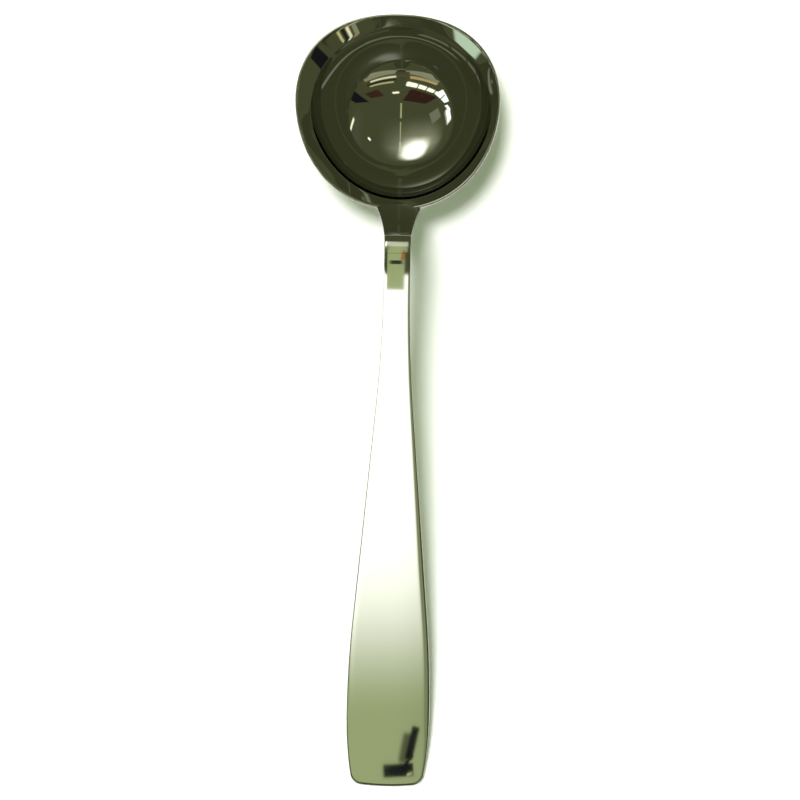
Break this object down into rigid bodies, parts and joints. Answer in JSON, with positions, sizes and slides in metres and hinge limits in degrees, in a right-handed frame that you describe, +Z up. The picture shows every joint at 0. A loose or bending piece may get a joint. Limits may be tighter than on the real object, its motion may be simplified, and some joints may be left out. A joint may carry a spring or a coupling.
{
  "type": "ladle",
  "caption": "One-piece polished steel ladle: deep round bowl with a flared lip, a rising neck and a long flat handle that widens towards its end.",
  "frame": {"origin": "on the table, under the middle of the ladle's bounding box", "axes": "+Z up, +Y along the handle towards the bowl, +X across the handle"},
  "size_m": [0.08, 0.299, 0.0564],
  "materials": {
    "steel": "mirror polished"
  },
  "bodies": {
    "root": {"ladle": "steel"}
  },
  "joints": []
}
